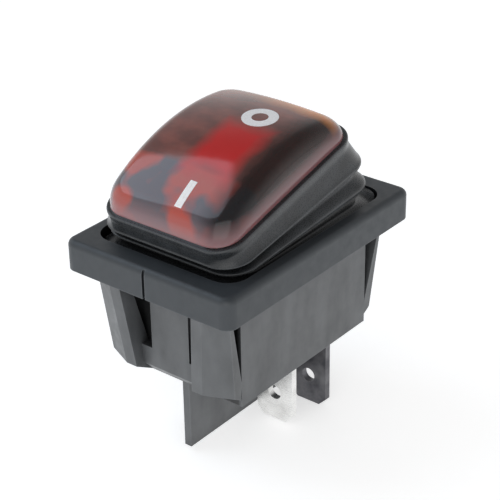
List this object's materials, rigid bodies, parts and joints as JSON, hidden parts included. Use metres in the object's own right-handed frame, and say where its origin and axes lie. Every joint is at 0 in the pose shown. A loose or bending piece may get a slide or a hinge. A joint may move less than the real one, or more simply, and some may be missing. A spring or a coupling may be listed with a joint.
{
  "type": "rocker switch",
  "caption": "Sealed, lit rocker switch with a pleated boot, a snap-in panel housing and tab terminals.",
  "frame": {"origin": "centre of the bezel's underside, the plane that seats on the panel", "axes": "+Z out of the panel through the rocker, +X along the bezel towards the end marked off, which stands up at rest, and +Y across the bezel along the rocker's pivot"},
  "size_m": [0.0314, 0.022, 0.0359],
  "materials": {
    "housing_plastic": "moulded, fine matt grain",
    "boot_rubber": "satin",
    "cap_plastic": "gloss, translucent red",
    "carrier_plastic": "moulded, light",
    "plunger_plastic": "moulded, self-lubricating",
    "lamp_glass": "clear",
    "lead_wire": "tinned",
    "resistor_coat": "lacquered",
    "spring_steel": "drawn wire",
    "lever_copper": "bright, rolled",
    "contact_silver": "bright silver alloy",
    "terminal_brass": "tin plated"
  },
  "bodies": {
    "base": {"housing": "housing_plastic", "boot": "boot_rubber", "fixed_contact_near": "contact_silver", "fixed_contact_far": "contact_silver", "common_terminal_near": "terminal_brass", "common_terminal_far": "terminal_brass", "load_terminal_near": "terminal_brass", "load_terminal_far": "terminal_brass", "lamp_spring_near": "spring_steel", "lamp_spring_far": "spring_steel"},
    "rocker": {"rocker_cap": "cap_plastic", "rocker_carrier": "carrier_plastic", "lamp_bulb": "lamp_glass", "lamp_lead": "lead_wire", "lamp_resistor": "resistor_coat", "plunger_spring_near": "spring_steel", "plunger_spring_far": "spring_steel"},
    "near_plunger": {"plunger_near": "plunger_plastic"},
    "far_plunger": {"plunger_far": "plunger_plastic"},
    "near_lever": {"contact_lever_near": "lever_copper", "moving_contact_near": "contact_silver"},
    "far_lever": {"contact_lever_far": "lever_copper", "moving_contact_far": "contact_silver"}
  },
  "joints": [
    {"name": "rocker_tilt", "type": "hinge", "parent": "base", "child": "rocker", "pos_m": [0, 0, 0.0009], "axis": [0, 1, 0], "range_deg": [0, 29], "deforming": ["boot", "lamp_spring_near", "lamp_spring_far"]},
    {"name": "near_plunger_slide", "type": "slide", "parent": "rocker", "child": "near_plunger", "axis": [-0.2504, 0, 0.9681], "range_m": [0, 0.0008], "stiffness_N_per_m": 120, "springref_m": -0.003, "deforming": ["plunger_spring_near"]},
    {"name": "far_plunger_slide", "type": "slide", "parent": "rocker", "child": "far_plunger", "axis": [-0.2504, 0, 0.9681], "range_m": [0, 0.0008], "stiffness_N_per_m": 120, "springref_m": -0.003, "deforming": ["plunger_spring_far"]},
    {"name": "near_lever_tilt", "type": "hinge", "parent": "base", "child": "near_lever", "pos_m": [0, -0.0045, -0.00585], "axis": [0, 1, 0], "range_deg": [-16, 0]},
    {"name": "far_lever_tilt", "type": "hinge", "parent": "base", "child": "far_lever", "pos_m": [0, 0.0045, -0.00585], "axis": [0, 1, 0], "range_deg": [-16, 0]}
  ],
  "couplings": [
    {"joint": "near_lever_tilt", "follows": "rocker_tilt", "ratio": -0.5517},
    {"joint": "far_lever_tilt", "follows": "rocker_tilt", "ratio": -0.5517}
  ]
}
